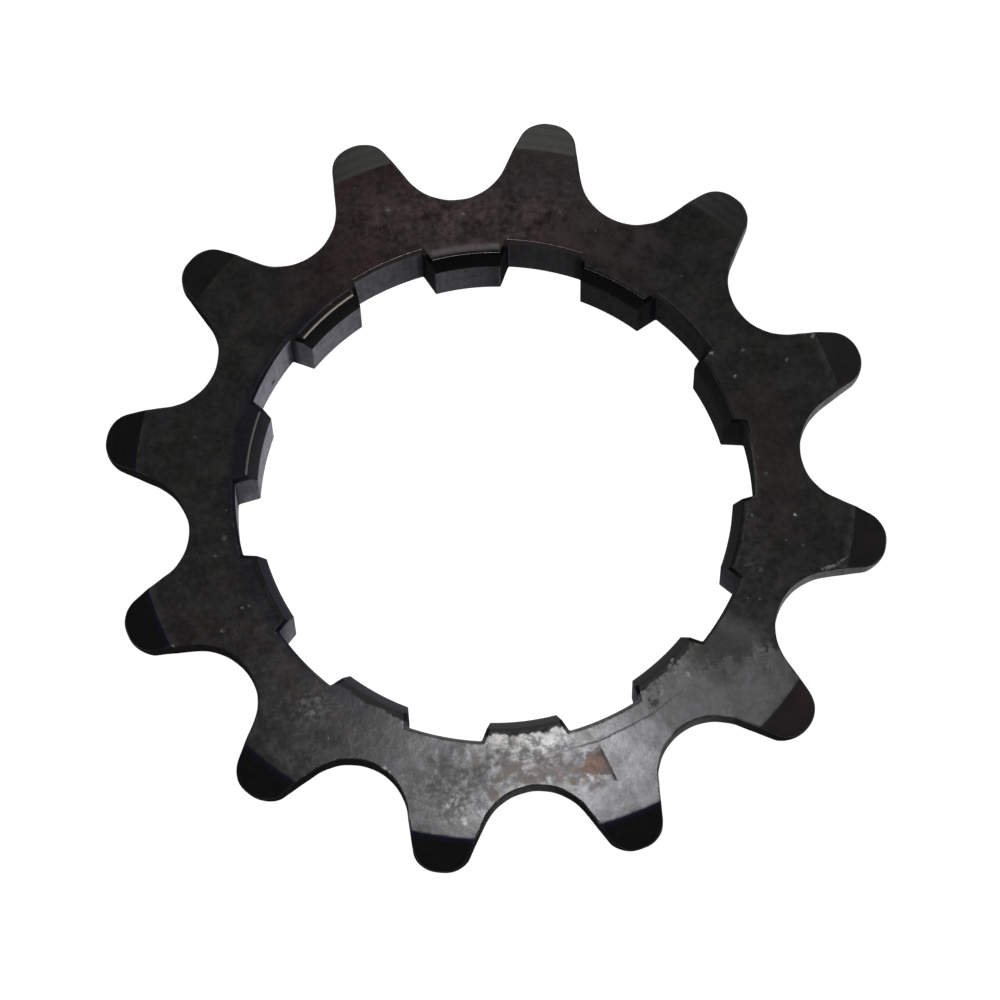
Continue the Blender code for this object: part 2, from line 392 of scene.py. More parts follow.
# ------------------------------------------------------------- surface zones
def mark_zones(mesh):
    """Material zone of each face, and how much painted light each wall gets.

    Zone 0 is the front, 1 the turned tip bevels, 2 the tooth walls, 3 the
    bore and lug walls, 4 the broken front edges of bore and lugs and 5 the
    boss and back.
    """
    n = len(mesh.vertices)
    co = np.empty(n * 3)
    mesh.vertices.foreach_get("co", co)
    co = co.reshape(-1, 3) / MM
    m = len(mesh.polygons)
    nor = np.empty(m * 3)
    mesh.polygons.foreach_get("normal", nor)
    nor = nor.reshape(-1, 3)
    mid = np.empty(m * 3)
    mesh.polygons.foreach_get("center", mid)
    mid = mid.reshape(-1, 3) / MM
    r = np.hypot(mid[:, 0], mid[:, 1])
    z = mid[:, 2]
    zone = np.zeros(m, int)
    steep = nor[:, 2] < 0.70
    outer = r > 20.3
    zone[(nor[:, 2] >= 0.70) & (r > R_BEVEL)] = 1
    zone[steep & outer] = 2
    inner = (r < R_BORE + 0.35) & (z > 0.05)
    zone[inner & (nor[:, 2] < 0.85)] = 3
    zone[inner & (nor[:, 2] > 0.45) & (nor[:, 2] < 0.85)] = 4
    along = np.abs(nor[:, 1] * mid[:, 0] - nor[:, 0] * mid[:, 1]) / r
    zone[inner & (nor[:, 2] > 0.45) & (nor[:, 2] < 0.9985) & (along > 0.03)] = 4
    zone[nor[:, 2] < -0.5] = 5
    zone[(r < 20.3) & (r > R_BORE + 0.35) & (z < 5.0)] = 5
    mesh.polygons.foreach_set("material_index", zone.astype(np.int32))

    # painted light: walls that face the light from the right are painted lighter, the
    # lug flanks by their side and place round the ring, and tooth walls facing right
    # at the lower right
    def step(v, lo, hi):
        t = np.clip((v - lo) / (hi - lo), 0.0, 1.0)    # also with lo > hi
        return t * t * (3.0 - 2.0 * t)

    vn = np.empty(n * 3)
    mesh.vertices.foreach_get("normal", vn)
    vn = vn.reshape(-1, 3)
    rv = np.hypot(co[:, 0], co[:, 1])
    level = step(np.hypot(vn[:, 0], vn[:, 1]), 0.90, 0.99)
    bore = np.clip(vn[:, :2] @ np.array([0.955, -0.297]), 0, 1) ** 2.2
    az = np.degrees(np.arctan2(co[:, 1], co[:, 0])) % 360.0
    turn = (vn[:, 1] * co[:, 0] - vn[:, 0] * co[:, 1]) / rv
    flank = step(np.abs(turn), 0.45, 0.75)
    lit = (0.30 + 0.40 * step(az, 150.0, 205.0)
           - 0.52 * step(az, 212.0, 236.0)) * step(turn, 0.3, 0.6) \
        * step(az, 108.0, 114.0) * (1.0 - step(az, 248.0, 256.0))
    near = (0.32 - 0.18 * step(az, 318.0, 330.0)) * step(turn, -0.3, -0.6) \
        * step(az, 286.0, 292.0) * (1.0 - step(az, 350.0, 356.0))
    tune = 0.03 * step(az, 60.0, 68.0) + 0.05 * step(az, 83.5, 86.0) \
        - 0.15 * step(az, 100.0, 102.5) - 0.03 * step(az, 117.0, 119.0) \
        + 0.10 * step(az, 133.0, 137.0)
    bore = np.clip(bore + tune * (az < 150.0) * (az > 55.0), 0.0, 1.0)
    bore = bore * (1.0 - flank) + (lit + near) * flank
    tooth = np.clip(vn[:, :2] @ np.array([0.75, -0.66]), 0, 1) ** 1.5 \
        * (step(co[:, 0], 8.0, 16.0) * step(co[:, 1], -17.0, -11.0)
           + 0.42 * step(co[:, 0], -7.0, 2.0) * step(co[:, 1], -13.0, -16.0)
           * step(rv, 24.6, 23.0))
    painted_wall_light = level * np.where(rv > 20.3, tooth, bore)
    att = mesh.attributes.new("painted_wall_light", "FLOAT", "POINT")
    att.data.foreach_set("value", painted_wall_light.astype(np.float32))


mark_zones(cog_mesh)


# -------------------------------------------------------------- the material
class Nodes:
    """A few short names for building a node tree; lengths are millimetres."""

    def __init__(self, mat):
        mat.use_nodes = True
        self.tree = mat.node_tree
        self.tree.nodes.clear()
        self.out = self.add("ShaderNodeOutputMaterial")
        self.shader = self.add("ShaderNodeBsdfPrincipled")
        self.tree.links.new(self.shader.outputs[0], self.out.inputs[0])
        tex = self.add("ShaderNodeTexCoord")
        scale = self.add("ShaderNodeVectorMath")
        scale.operation = "SCALE"
        scale.inputs["Scale"].default_value = 1000.0      # to millimetres
        self.link(tex.outputs["Object"], scale.inputs[0])
        self.p = scale.outputs[0]
        sep = self.add("ShaderNodeSeparateXYZ")
        self.link(self.p, sep.inputs[0])
        self.x, self.y, self.z = sep.outputs
        self.r = self.math("SQRT", self.math("ADD",
                 self.math("MULTIPLY", self.x, self.x),
                 self.math("MULTIPLY", self.y, self.y)))

    def add(self, kind):
        return self.tree.nodes.new(kind)

    def link(self, a, b):
        self.tree.links.new(a, b)

    def put(self, value, socket):
        if isinstance(value, bpy.types.NodeSocket):
            self.link(value, socket)
        elif isinstance(value, (tuple, list)) and len(value) == 3 \
                and socket.type == "RGBA":
            socket.default_value = (*value, 1.0)
        else:
            socket.default_value = value

    def math(self, op, a, b=None, c=None, clamp=False):
        n = self.add("ShaderNodeMath")
        n.operation = op
        n.use_clamp = clamp
        for i, v in enumerate((a, b, c)):
            if v is not None:
                self.put(v, n.inputs[i])
        return n.outputs[0]

    def mul(self, *v):
        out = v[0]
        for w in v[1:]:
            out = self.math("MULTIPLY", out, w)
        return out

    def plus(self, *v):
        out = v[0]
        for w in v[1:]:
            out = self.math("ADD", out, w)
        return out

    def less(self, a, b):
        return self.math("SUBTRACT", a, b)

    def either(self, *v):
        out = v[0]
        for w in v[1:]:
            out = self.math("MAXIMUM", out, w)
        return out

    def degrees(self):
        """Angle round the axis, -180 to 180, from +X."""
        return self.mul(self.math("ARCTAN2", self.y, self.x), 180.0 / math.pi)

    def ramp(self, v, lo, hi, to0=0.0, to1=1.0):
        """Smoothly from to0 at lo to to1 at hi."""
        n = self.add("ShaderNodeMapRange")
        n.interpolation_type = "SMOOTHSTEP"
        if lo > hi:
            lo, hi, to0, to1 = hi, lo, to1, to0
        self.put(v, n.inputs["Value"])
        for name, w in (("From Min", lo), ("From Max", hi),
                        ("To Min", to0), ("To Max", to1)):
            self.put(w, n.inputs[name])
        return n.outputs[0]

    def band(self, v, lo, hi, soft):
        """1 between lo and hi, falling to 0 over soft on each side."""
        return self.mul(self.ramp(v, lo - soft, lo + soft),
                        self.ramp(v, hi - soft, hi + soft, 1.0, 0.0))

    def noise(self, size, detail=2.0, rough=0.5, shift=0.0, warp=0.0,
              stretch=None, turn=0.0):
        """Noise of about that feature size, centred on 0.5."""
        m = self.add("ShaderNodeMapping")
        self.link(self.p, m.inputs["Vector"])
        m.inputs["Location"].default_value = (shift, 1.7 * shift, -0.6 * shift)
        m.inputs["Rotation"].default_value = (0, 0, math.radians(turn))
        if stretch:
            m.inputs["Scale"].default_value = stretch
        n = self.add("ShaderNodeTexNoise")
        self.link(m.outputs[0], n.inputs["Vector"])
        n.inputs["Scale"].default_value = 1.0 / size
        n.inputs["Detail"].default_value = detail
        n.inputs["Roughness"].default_value = rough
        n.inputs["Distortion"].default_value = warp
        return n.outputs["Fac"]

    def cells(self, size, shift=0.0):
        """Distance to the nearest of scattered points, in cell sizes."""
        m = self.add("ShaderNodeMapping")
        self.link(self.p, m.inputs["Vector"])
        m.inputs["Location"].default_value = (shift, -shift, shift)
        n = self.add("ShaderNodeTexVoronoi")
        self.link(m.outputs[0], n.inputs["Vector"])
        n.inputs["Scale"].default_value = 1.0 / size
        return n.outputs["Distance"]

    def blob(self, cx, cy, rx, ry, turn=0.0, soft=0.35, ragged=None, amount=0.0):
        """An oval patch about (cx, cy), 1 inside, with a ragged soft edge."""
        c, s = math.cos(math.radians(turn)), math.sin(math.radians(turn))
        dx, dy = self.less(self.x, cx), self.less(self.y, cy)
        u = self.plus(self.mul(dx, c / rx), self.mul(dy, s / rx))
        v = self.plus(self.mul(dx, -s / ry), self.mul(dy, c / ry))
        d = self.math("SQRT", self.plus(self.mul(u, u), self.mul(v, v)))
        if ragged is not None:
            d = self.plus(d, self.mul(self.less(ragged, 0.5), amount))
        return self.ramp(d, 1.0 - soft, 1.0 + soft, 1.0, 0.0)

    def spot(self, cx, cy, radius, ragged, z=Z_FRONT):
        """A small uneven mark on the front."""
        n = self.add("ShaderNodeVectorMath")
        n.operation = "DISTANCE"
        self.link(self.p, n.inputs[0])
        n.inputs[1].default_value = (cx, cy, z)
        d = self.plus(n.outputs["Value"],
                      self.mul(self.less(ragged, 0.5), 3.0 * radius))
        return self.ramp(d, 0.3 * radius, 1.2 * radius, 1.0, 0.0)

    def side(self, a, b, soft, ragged=None, amount=0.0):
        """1 on the left of the line from a to b, 0 on its right."""
        length = math.dist(a, b)
        nx, ny = (a[1] - b[1]) / length, (b[0] - a[0]) / length
        d = self.plus(self.mul(self.x, nx), self.mul(self.y, ny),
                      -(a[0] * nx + a[1] * ny))
        if ragged is not None:
            d = self.plus(d, self.mul(self.less(ragged, 0.5), amount))
        return self.ramp(d, -soft, soft)

    def mix(self, fac, a, b, blend="MIX"):
        n = self.add("ShaderNodeMix")
        n.data_type = "RGBA"
        n.blend_type = blend
        n.clamp_factor = True
        self.put(fac, n.inputs[0])
        self.put(a, n.inputs[6])
        self.put(b, n.inputs[7])
        return n.outputs[2]

    def lerp(self, fac, a, b):
        n = self.add("ShaderNodeMix")
        n.data_type = "FLOAT"
        n.clamp_factor = True
        self.put(fac, n.inputs[0])
        self.put(a, n.inputs[2])
        self.put(b, n.inputs[3])
        return n.outputs[0]

    def tint(self, colour, value):
        """colour times a value."""
        n = self.add("ShaderNodeVectorMath")
        n.operation = "SCALE"
        self.put(colour, n.inputs[0])
        self.put(value, n.inputs["Scale"])
        return n.outputs[0]

    def attribute(self, name):
        n = self.add("ShaderNodeAttribute")
        n.attribute_name = name
        return n.outputs["Fac"]

    def bump(self, height_mm, strength=1.0):
        n = self.add("ShaderNodeBump")
        n.inputs["Strength"].default_value = strength
        n.inputs["Distance"].default_value = MM
        self.link(height_mm, n.inputs["Height"])
        return n.outputs[0]

    def finish(self, colour, roughness, normal=None, ior=1.6):
        s = self.shader
        self.put(colour, s.inputs["Base Color"])
        self.put(roughness, s.inputs["Roughness"])
        s.inputs["IOR"].default_value = ior
        if normal is not None:
            self.link(normal, s.inputs["Normal"])


# Small pale nicks on the front: x, y, radius in mm, and how pale
NICKS = (
    (-5.36, -20.96, 0.15, 0.8), (-5.67, -21.34, 0.17, 0.9),
    (-4.77, -21.58, 0.15, 0.8), (-4.69, -22.62, 0.17, 1.0),
    (-5.15, -21.85, 0.12, 0.5), (-4.40, -21.95, 0.12, 0.6),
    (-9.51, -18.27, 0.16, 0.8), (-9.21, -18.58, 0.12, 0.7),
    (-13.88, -13.95, 0.22, 0.30), (-13.39, -13.11, 0.25, 0.18),
    (-14.39, -13.06, 0.22, 0.16), (-17.72, -6.20, 0.12, 0.30),
    (-17.24, -6.12, 0.10, 0.18), (-19.21, -7.62, 0.13, 0.26),
    (-22.56, -8.26, 0.13, 0.28), (-19.12, -2.40, 0.13, 0.18),
    (-18.39, -1.23, 0.20, 0.16), (-4.87, 20.46, 0.20, 0.22),
    (-1.92, 21.19, 0.22, 0.20), (0.15, 19.56, 0.13, 0.24),
    (6.70, 18.90, 0.16, 0.14), (13.47, 9.81, 0.14, 0.45),
    (14.64, 8.88, 0.16, 0.50), (15.58, 7.70, 0.15, 0.55),
    (16.97, 5.89, 0.12, 0.40), (20.59, 6.58, 0.14, 0.24),
    (22.55, 8.05, 0.14, 0.45), (17.74, 7.64, 0.14, 0.20),
    (19.70, -4.27, 0.12, 1.0), (16.84, -3.92, 0.11, 0.20),
    (19.95, -6.40, 0.10, 0.14), (16.62, -9.76, 0.10, 0.20),
    (18.15, -1.12, 0.12, 0.14),
    (10.27, -13.23, 0.13, 0.50),
)
# Pale scratches: x, y, half length and width, turn in degrees, and how pale
SCRATCHES = (
    (21.55, -8.12, 0.50, 0.10, 10, 0.42), (22.45, -7.75, 0.30, 0.08, 25, 0.25),
    (16.20, -7.30, 0.38, 0.09, 8, 0.10), (16.95, -7.75, 0.16, 0.14, -35, 0.14),
    (13.55, 9.75, 0.26, 0.09, -50, 0.35), (11.2, -14.3, 0.12, 0.20, 20, 0.55),
    (10.1, -13.6, 0.22, 0.10, 40, 0.35), (9.3, -15.4, 0.30, 0.10, 60, 0.20),
    (-5.05, -21.1, 0.32, 0.10, 60, 0.6), (-4.75, -22.35, 0.20, 0.12, 0, 0.8),
)
# Small dark pits: x, y, half length and width, turn in degrees, and depth
PITS = (
    (8.77, -16.02, 0.30, 0.15, 30, 1.0), (8.45, -15.75, 0.14, 0.10, 60, 0.7),
    (9.20, -15.20, 0.22, 0.12, 100, 0.4), (11.30, -14.05, 0.34, 0.12, 40, 0.4),
    (16.39, -14.53, 0.14, 0.10, 0, 0.6), (7.57, 18.79, 0.18, 0.36, 10, 0.8),
    (7.85, 16.60, 0.20, 0.40, 0, 0.8), (-3.3, 20.9, 0.14, 0.08, 30, 0.7),
    (0.85, -19.0, 0.40, 0.10, 12, 0.35), (12.6, -12.9, 0.25, 0.16, 20, 0.5),
    (-2.2, -18.9, 0.20, 0.12, 60, 0.4), (3.4, -18.95, 0.24, 0.10, 20, 0.3),
)


def front_finish():
    mat = bpy.data.materials.new("front_black_oxide")
    n = Nodes(mat)
    deg = n.degrees()
    broad = n.noise(5.0, 3.0, 0.55, 11.0)
    mid = n.noise(1.3, 4.0, 0.62, 23.0)
    fine = n.noise(0.42, 3.0, 0.62, 37.0)
    grit = n.noise(0.16, 2.0, 0.6, 41.0)
    hue = n.noise(2.2, 3.0, 0.6, 57.0)
    cloud = n.noise(0.8, 4.0, 0.65, 63.0, 0.6)

    # the black oxide: neutral, with green, violet and blue casts in patches
    colour = n.mix(n.ramp(hue, 0.34, 0.50), (0.036, 0.035, 0.040),
                   (0.042, 0.039, 0.037))
    colour = n.mix(n.ramp(hue, 0.52, 0.68), colour, (0.041, 0.041, 0.035))
    far = n.mul(n.ramp(n.y, 8.0, 18.0), n.ramp(n.x, 14.0, 4.0),
                n.ramp(n.x, -15.0, -5.0))
    brown = n.mul(far, n.ramp(n.plus(n.mul(mid, 0.6), n.mul(fine, 0.4)),
                              0.25, 0.60))
    colour = n.mix(brown, colour, (0.082, 0.047, 0.042))
    lilac = n.mul(n.blob(0.8, 19.6, 8.6, 2.6, -4.0, 0.6, mid, 1.2),
                  n.ramp(n.plus(n.mul(mid, 0.5), n.mul(fine, 0.5)), 0.32, 0.66))
    colour = n.mix(n.mul(lilac, 0.75), colour, (0.170, 0.130, 0.135))
    cap = n.mul(n.band(deg, 66.0, 86.0, 4.0), n.ramp(n.r, 19.6, 21.8))
    colour = n.mix(n.mul(cap, n.plus(0.25, n.mul(0.8, cloud))), colour,
                   (0.088, 0.081, 0.083))
    tone = n.plus(0.50, n.mul(0.55, n.ramp(mid, 0.30, 0.70)),
                  n.mul(0.45, n.ramp(fine, 0.28, 0.72)))
    tone = n.lerp(n.mul(0.8, far), tone,
                  n.plus(0.56, n.mul(0.26, n.ramp(mid, 0.30, 0.70)),
                         n.mul(0.36, n.ramp(fine, 0.28, 0.72)),
                         n.mul(0.26, n.ramp(grit, 0.30, 0.70))))
    colour = n.tint(colour, tone)
    rough = n.plus(0.250, n.mul(0.16, n.less(mid, 0.5)),
                   n.mul(0.10, n.less(fine, 0.5)),
                   n.mul(0.08, n.less(grit, 0.5)))

    # the worn near side: blotched sheen and a pale bloom of bare specks; the bloom
    # lies over the key light's highlight and is partly a painted highlight
    blotch = n.ramp(n.plus(n.mul(cloud, 0.45), n.mul(fine, 0.35),
                           n.mul(grit, 0.20)), 0.40, 0.60)
    near = n.blob(-1.0, -19.0, 15.0, 9.0, 0.0, 0.6)
    left_near = n.mul(near, n.ramp(n.x, 4.0, -1.5))
    rough = n.plus(rough, n.mul(n.less(0.5, blotch), near, 0.020),
                   n.mul(n.less(0.5, blotch), left_near, 0.022))
    # pale bloom: bare specks, and partly a painted highlight
    colour = n.mix(n.mul(near, n.ramp(blotch, 0.45, 1.0), 0.22), colour,
                   (0.34, 0.34, 0.36))
    side_deg = n.math("ABSOLUTE", n.plus(deg, 138.0))
    lower_left = n.ramp(side_deg, 38.0, 18.0)
    soot = n.ramp(n.plus(n.mul(mid, 0.55), n.mul(cloud, 0.45)), 0.56, 0.42)
    colour = n.mix(n.mul(lower_left, soot, 0.55), colour, (0.022, 0.017, 0.015))
    ash = n.mul(n.ramp(n.plus(n.mul(cloud, 0.5), n.mul(fine, 0.5)), 0.52, 0.62),
                lower_left)
    colour = n.mix(n.mul(ash, 0.24), colour, (0.155, 0.150, 0.148))
    ashes = n.mul(n.blob(-13.8, -13.6, 1.5, 1.1, 0.0, 0.6, cloud, 2.0),
                  n.ramp(fine, 0.46, 0.60))
    colour = n.mix(n.mul(ashes, 0.40), colour, (0.30, 0.30, 0.29))

    # the grey stretch past the near side, to its ragged far end: rubbed grey, and
    # partly a painted reflection of the highlight's tail
    frontier = n.side((17.32, -13.35), (9.0, -14.35), 0.16, cloud, 3.0)
    # partly painted reflection: lighter grey on the near side of the ragged line
    grey = n.mul(n.band(deg, -60.5, -30.0, 0.8), frontier)
    colour = n.mix(n.mul(grey, n.ramp(n.r, 18.0, 22.0, 0.35, 0.85)),
                   colour, n.tint((0.150, 0.152, 0.158),
                                  n.plus(0.4, n.mul(0.6, fine),
                                         n.mul(0.6, n.ramp(cloud, 0.35, 0.65)))))
    beyond = n.mul(n.less(1.0, frontier), n.band(deg, -56.0, -14.0, 6.0))
    rough = n.plus(rough, n.mul(beyond, -0.065))
    colour = n.mix(n.mul(beyond, 0.32), colour,
                   n.mix(n.ramp(cloud, 0.40, 0.60), (0.020, 0.018, 0.020),
                         (0.075, 0.068, 0.062)))
    strip = n.mul(n.side((17.32, -12.9), (8.0, -14.2), 0.35, cloud, 3.0),
                  n.less(1.0, n.side((17.32, -14.6), (8.0, -15.4), 0.35, cloud, 3.0)),
                  n.band(deg, -56.0, -36.0, 2.0), n.ramp(n.r, 22.3, 20.5),
                  n.ramp(n.plus(n.mul(cloud, 0.4), n.mul(fine, 0.4),
                                n.mul(grit, 0.2)), 0.46, 0.62))
    colour = n.mix(n.mul(strip, 0.46), colour, (0.31, 0.31, 0.285))
    # and a painted highlight between it and the rust, carrying the key light's bright
    # patch further along
    light = n.mul(n.band(deg, -73.0, -62.0, 0.6),
                  n.ramp(n.plus(n.r, n.mul(n.less(cloud, 0.5), 2.0)), 18.4, 19.4),
                  n.plus(0.5, n.mul(0.9, n.ramp(cloud, 0.35, 0.65))))
    colour = n.mix(n.mul(light, 0.6), colour, (0.42, 0.42, 0.45))

    upper = n.mul(n.band(deg, 50.0, 70.0, 5.0), n.ramp(n.r, 17.4, 18.2),
                  n.ramp(n.r, 22.0, 20.5), n.ramp(mid, 0.30, 0.60))
    colour = n.mix(n.mul(upper, 0.6), colour, (0.092, 0.082, 0.082))

    # dark edge of the bore at the left
    dusk = n.mul(n.ramp(n.r, 18.25, 17.55), n.band(n.math("ABSOLUTE", deg),
                                                 125.0, 181.0, 6.0))
    colour = n.mix(n.mul(dusk, 0.75), colour, (0.008, 0.008, 0.024))

    # pale dried stains on the near lug and beside it
    spread = n.plus(n.mul(cloud, 0.55), n.mul(fine, 0.45))
    stain = n.mul(n.band(deg, -98.5, -79.5, 1.2), n.ramp(n.r, 18.5, 17.5),
                  n.ramp(spread, 0.40, 0.58))
    stain = n.either(stain, n.mul(
        n.blob(0.2, -18.35, 3.2, 0.75, 3.0, 0.5, cloud, 2.2),
        n.ramp(spread, 0.44, 0.64), 0.72))
    stain = n.either(stain, n.mul(
        n.blob(3.5, -17.6, 2.4, 0.9, 16.0, 0.6, cloud, 2.2),
        n.ramp(spread, 0.44, 0.66), 0.42))
    stain = n.either(stain, n.mul(
        n.blob(-5.0, -21.7, 0.95, 1.6, -20.0, 0.6, cloud, 2.5),
        n.ramp(fine, 0.48, 0.64), 0.45))
    colour = n.mix(n.mul(stain, 0.9), colour,
                   n.mix(n.ramp(mid, 0.42, 0.58), (0.90, 0.90, 0.84),
                         (0.80, 0.79, 0.62)))
    shade_at = n.either(
        n.mul(n.blob(-0.6, -19.0, 4.8, 1.5, 0.0, 0.6, cloud, 1.6),
              n.ramp(spread, 0.58, 0.38), 0.7),
        n.mul(n.blob(-5.0, -19.5, 3.0, 1.9, 15.0, 0.8, cloud, 1.6),
              n.plus(0.30, n.mul(0.7, n.ramp(spread, 0.64, 0.38)))))

    # rust: a wedge with a straight side, and thinner blooms to its left
    straight = n.side((5.66, -20.95), (4.83, -18.45), 0.035)
    wedge = n.mul(n.side((4.83, -18.50), (3.05, -20.05), 0.30, spread, 3.0),
                  n.side((3.05, -20.15), (5.45, -20.50), 0.14, spread, 1.8),
                  straight)
    tail = n.mul(straight, n.side((4.62, -18.50), (5.45, -20.95), 0.06, cloud, 0.4),
                 n.band(n.y, -20.92, -18.7, 0.10))
    bloom = n.mul(n.blob(2.35, -19.95, 2.3, 0.80, -22.0, 0.5, cloud, 2.0),
                  n.ramp(fine, 0.36, 0.58))
    spots = None
    for x, y, rx, ry, a in ((-1.82, -19.75, 0.60, 0.50, 30),
                            (-2.68, -20.85, 0.36, 0.62, 20),
                            (-3.51, -18.60, 0.30, 0.50, 0),
                            (-1.20, -19.28, 0.80, 0.50, 0),
                            (2.73, -20.65, 0.32, 0.28, 0),
                            (-0.2, -20.05, 1.5, 0.45, 0)):
        b = n.blob(x, y, rx, ry, a, 0.5, cloud, 2.4)
        spots = b if spots is None else n.either(spots, b)
    spots = n.mul(spots, n.ramp(fine, 0.32, 0.54))
    colour = n.mix(n.mul(bloom, 0.7), colour,
                   n.mix(n.ramp(spread, 0.40, 0.60), (0.22, 0.15, 0.19),
                         (0.66, 0.44, 0.37)))
    colour = n.mix(n.mul(spots, 0.8), colour,
                   n.mix(n.ramp(fine, 0.38, 0.62),
                         (0.16, 0.13, 0.14), (0.44, 0.33, 0.23)))
    core = n.blob(4.15, -19.75, 0.95, 0.60, -20.0, 0.6, fine, 2.0)
    colour = n.mix(wedge, colour,
                   n.mix(core, n.mix(n.ramp(fine, 0.36, 0.62),
                                     (0.17, 0.13, 0.12), (0.44, 0.34, 0.26)),
                         n.mix(n.ramp(fine, 0.36, 0.62),
                               (0.36, 0.20, 0.14), (0.74, 0.42, 0.27))))
    colour = n.mix(n.mul(n.blob(4.95, -20.15, 0.42, 0.30, -60.0, 0.7, fine, 2.0),
                         0.7), colour, (0.30, 0.22, 0.27))
    colour = n.mix(n.mul(tail, 0.6), colour, (0.14, 0.10, 0.12))
    dull = n.either(n.mul(wedge, 0.62), n.mul(bloom, 0.32), n.mul(spots, 0.38),
                    n.mul(tail, 0.8), n.mul(shade_at, 0.36),
                    n.mul(n.band(deg, -66.0, -40.0, 5.0), 0.20),
                    n.mul(n.band(deg, -50.0, -38.0, 4.0), n.ramp(n.r, 21.4, 20.0),
                          0.70))

    # faint rust flecks at the lower left
    flecks = None
    for x, y, r in ((-14.79, -12.46, 0.6), (-12.30, -14.14, 0.45),
                    (-15.01, -10.84, 0.6), (-13.4, -12.2, 0.4), (-13.81, 18.67, 0.4),
                    (-11.6, -15.6, 0.4)):
        b = n.blob(x, y, r, r, 0.0, 0.6, cloud, 3.0)
        flecks = b if flecks is None else n.either(flecks, b)
    colour = n.mix(n.mul(flecks, 0.45), colour, (0.085, 0.040, 0.033))
    warm = n.either(
        n.mul(n.band(deg, -12.0, 12.0, 6.0), n.ramp(n.r, 21.0, 19.6)),
        n.mul(n.band(deg, -168.0, -140.0, 8.0), n.ramp(cloud, 0.42, 0.58), 0.7))
    colour = n.mix(n.mul(warm, n.plus(0.25, n.mul(0.5, mid))), colour,
                   (0.046, 0.030, 0.023))
    chalky = n.mul(n.blob(16.4, -5.0, 1.1, 2.6, 0.0, 0.7, cloud, 2.0),
                   n.ramp(n.plus(n.mul(fine, 0.6), n.mul(grit, 0.4)), 0.44, 0.64))
    colour = n.mix(n.mul(chalky, 0.17), colour, (0.22, 0.21, 0.205))

    # worn ring left by the neighbouring part: a dark line, paler inside it
    ring = n.mul(n.band(n.plus(n.r, n.mul(n.less(cloud, 0.5), 0.35)),
                        18.66, 18.78, 0.07), n.band(deg, -92.0, -54.0, 3.0),
                 n.plus(0.35, n.mul(n.ramp(deg, -84.0, -74.0), 0.65)))
    colour = n.mix(n.mul(ring, 0.55), colour, (0.03, 0.03, 0.04))
    dull = n.either(dull, n.mul(ring, 0.45))

    # rubbed bright: the far lugs' edges, the line where the bevels start. The crests
    # of two far lugs are a painted highlight, and the bevel line is partly a painted
    # glint.
    at = n.less(n.math("MODULO", n.plus(deg, 288.0), 36.0), 18.0)
    on_lug = n.ramp(n.math("ABSOLUTE", at), 7.6, 7.9, 1.0, 0.0)
    crest = n.mul(on_lug, n.band(n.r, 16.58, 16.78, 0.05))
    wide = n.mul(on_lug, n.ramp(n.plus(n.r, n.mul(n.less(cloud, 0.5), 1.2)),
                                17.15, 16.75))
    lug_1 = n.band(deg, 80.0, 100.0, 1.0)
    lug_2 = n.band(deg, 116.0, 136.0, 1.0)
    lug_3 = n.band(deg, 152.0, 172.0, 1.0)
    lug_10 = n.band(deg, 44.0, 64.0, 1.0)
    # painted highlight: the chamfer crests of the two far lugs, where their rounded
    # edges catch the light
    painted_crest_glint = n.either(n.mul(crest, lug_2, 0.8), n.mul(crest, lug_3, 0.30))
    colour = n.mix(painted_crest_glint, colour, (0.95, 0.88, 0.76))
    colour = n.mix(n.mul(on_lug, lug_1, n.band(n.r, 16.95, 17.32, 0.14),
                         n.plus(0.25, n.mul(0.9, fine))), colour,
                   (0.36, 0.32, 0.33))
    colour = n.mix(n.mul(lug_1, n.ramp(n.r, 18.2, 17.2), n.ramp(n.r, 16.75, 16.95),
                         n.ramp(cloud, 0.35, 0.60), 0.5), colour,
                   (0.22, 0.19, 0.19))
    colour = n.mix(n.mul(wide, lug_10, 0.35, n.ramp(fine, 0.35, 0.65)), colour,
                   (0.16, 0.15, 0.15))
    colour = n.mix(n.mul(on_lug, n.band(deg, -28.0, -8.0, 1.0),
                         n.band(n.plus(n.r, n.mul(n.less(cloud, 0.5), 0.3)),
                                16.84, 17.02, 0.08), n.ramp(fine, 0.35, 0.65), 0.35),
                   colour, (0.16, 0.155, 0.15))
    # the black rim behind the chamfers of the near and left lugs
    uneven = n.plus(n.r, n.mul(n.less(cloud, 0.5), 0.9))
    rim = n.mul(n.ramp(uneven, 17.16, 16.98),
                n.either(n.band(deg, -173.3, -150.7, 0.8),
                         n.band(deg, -137.3, -114.7, 0.8),
                         n.band(deg, -101.3, -78.7, 0.8),
                         n.band(deg, -65.3, -42.7, 0.8)))
    above = n.mul(on_lug, lug_2, n.band(n.r, 16.86, 17.10, 0.04))
    colour = n.mix(n.mul(above, 0.6), colour, (0.012, 0.012, 0.016))
    step_line = n.mul(on_lug, lug_2, n.band(n.r, 17.16, 17.24, 0.05))
    colour = n.mix(n.mul(step_line, 0.30), colour, (0.30, 0.31, 0.33))
    # pale line where the bevels start: rubbed, and strongest where the highlight falls
    # as a painted glint
    line = n.mul(n.ramp(n.r, 23.45, 24.15), n.ramp(cloud, 0.30, 0.62),
                 n.either(n.mul(n.band(deg, -32.0, 28.0, 5.0), 0.30),
                          n.mul(n.band(n.math("ABSOLUTE", deg), 150.0, 190.0, 5.0),
                                0.24),
                          n.mul(n.band(deg, -120.0, -60.0, 5.0), 0.9)))
    colour = n.mix(n.mul(line, 0.5), colour, (0.42, 0.42, 0.44))

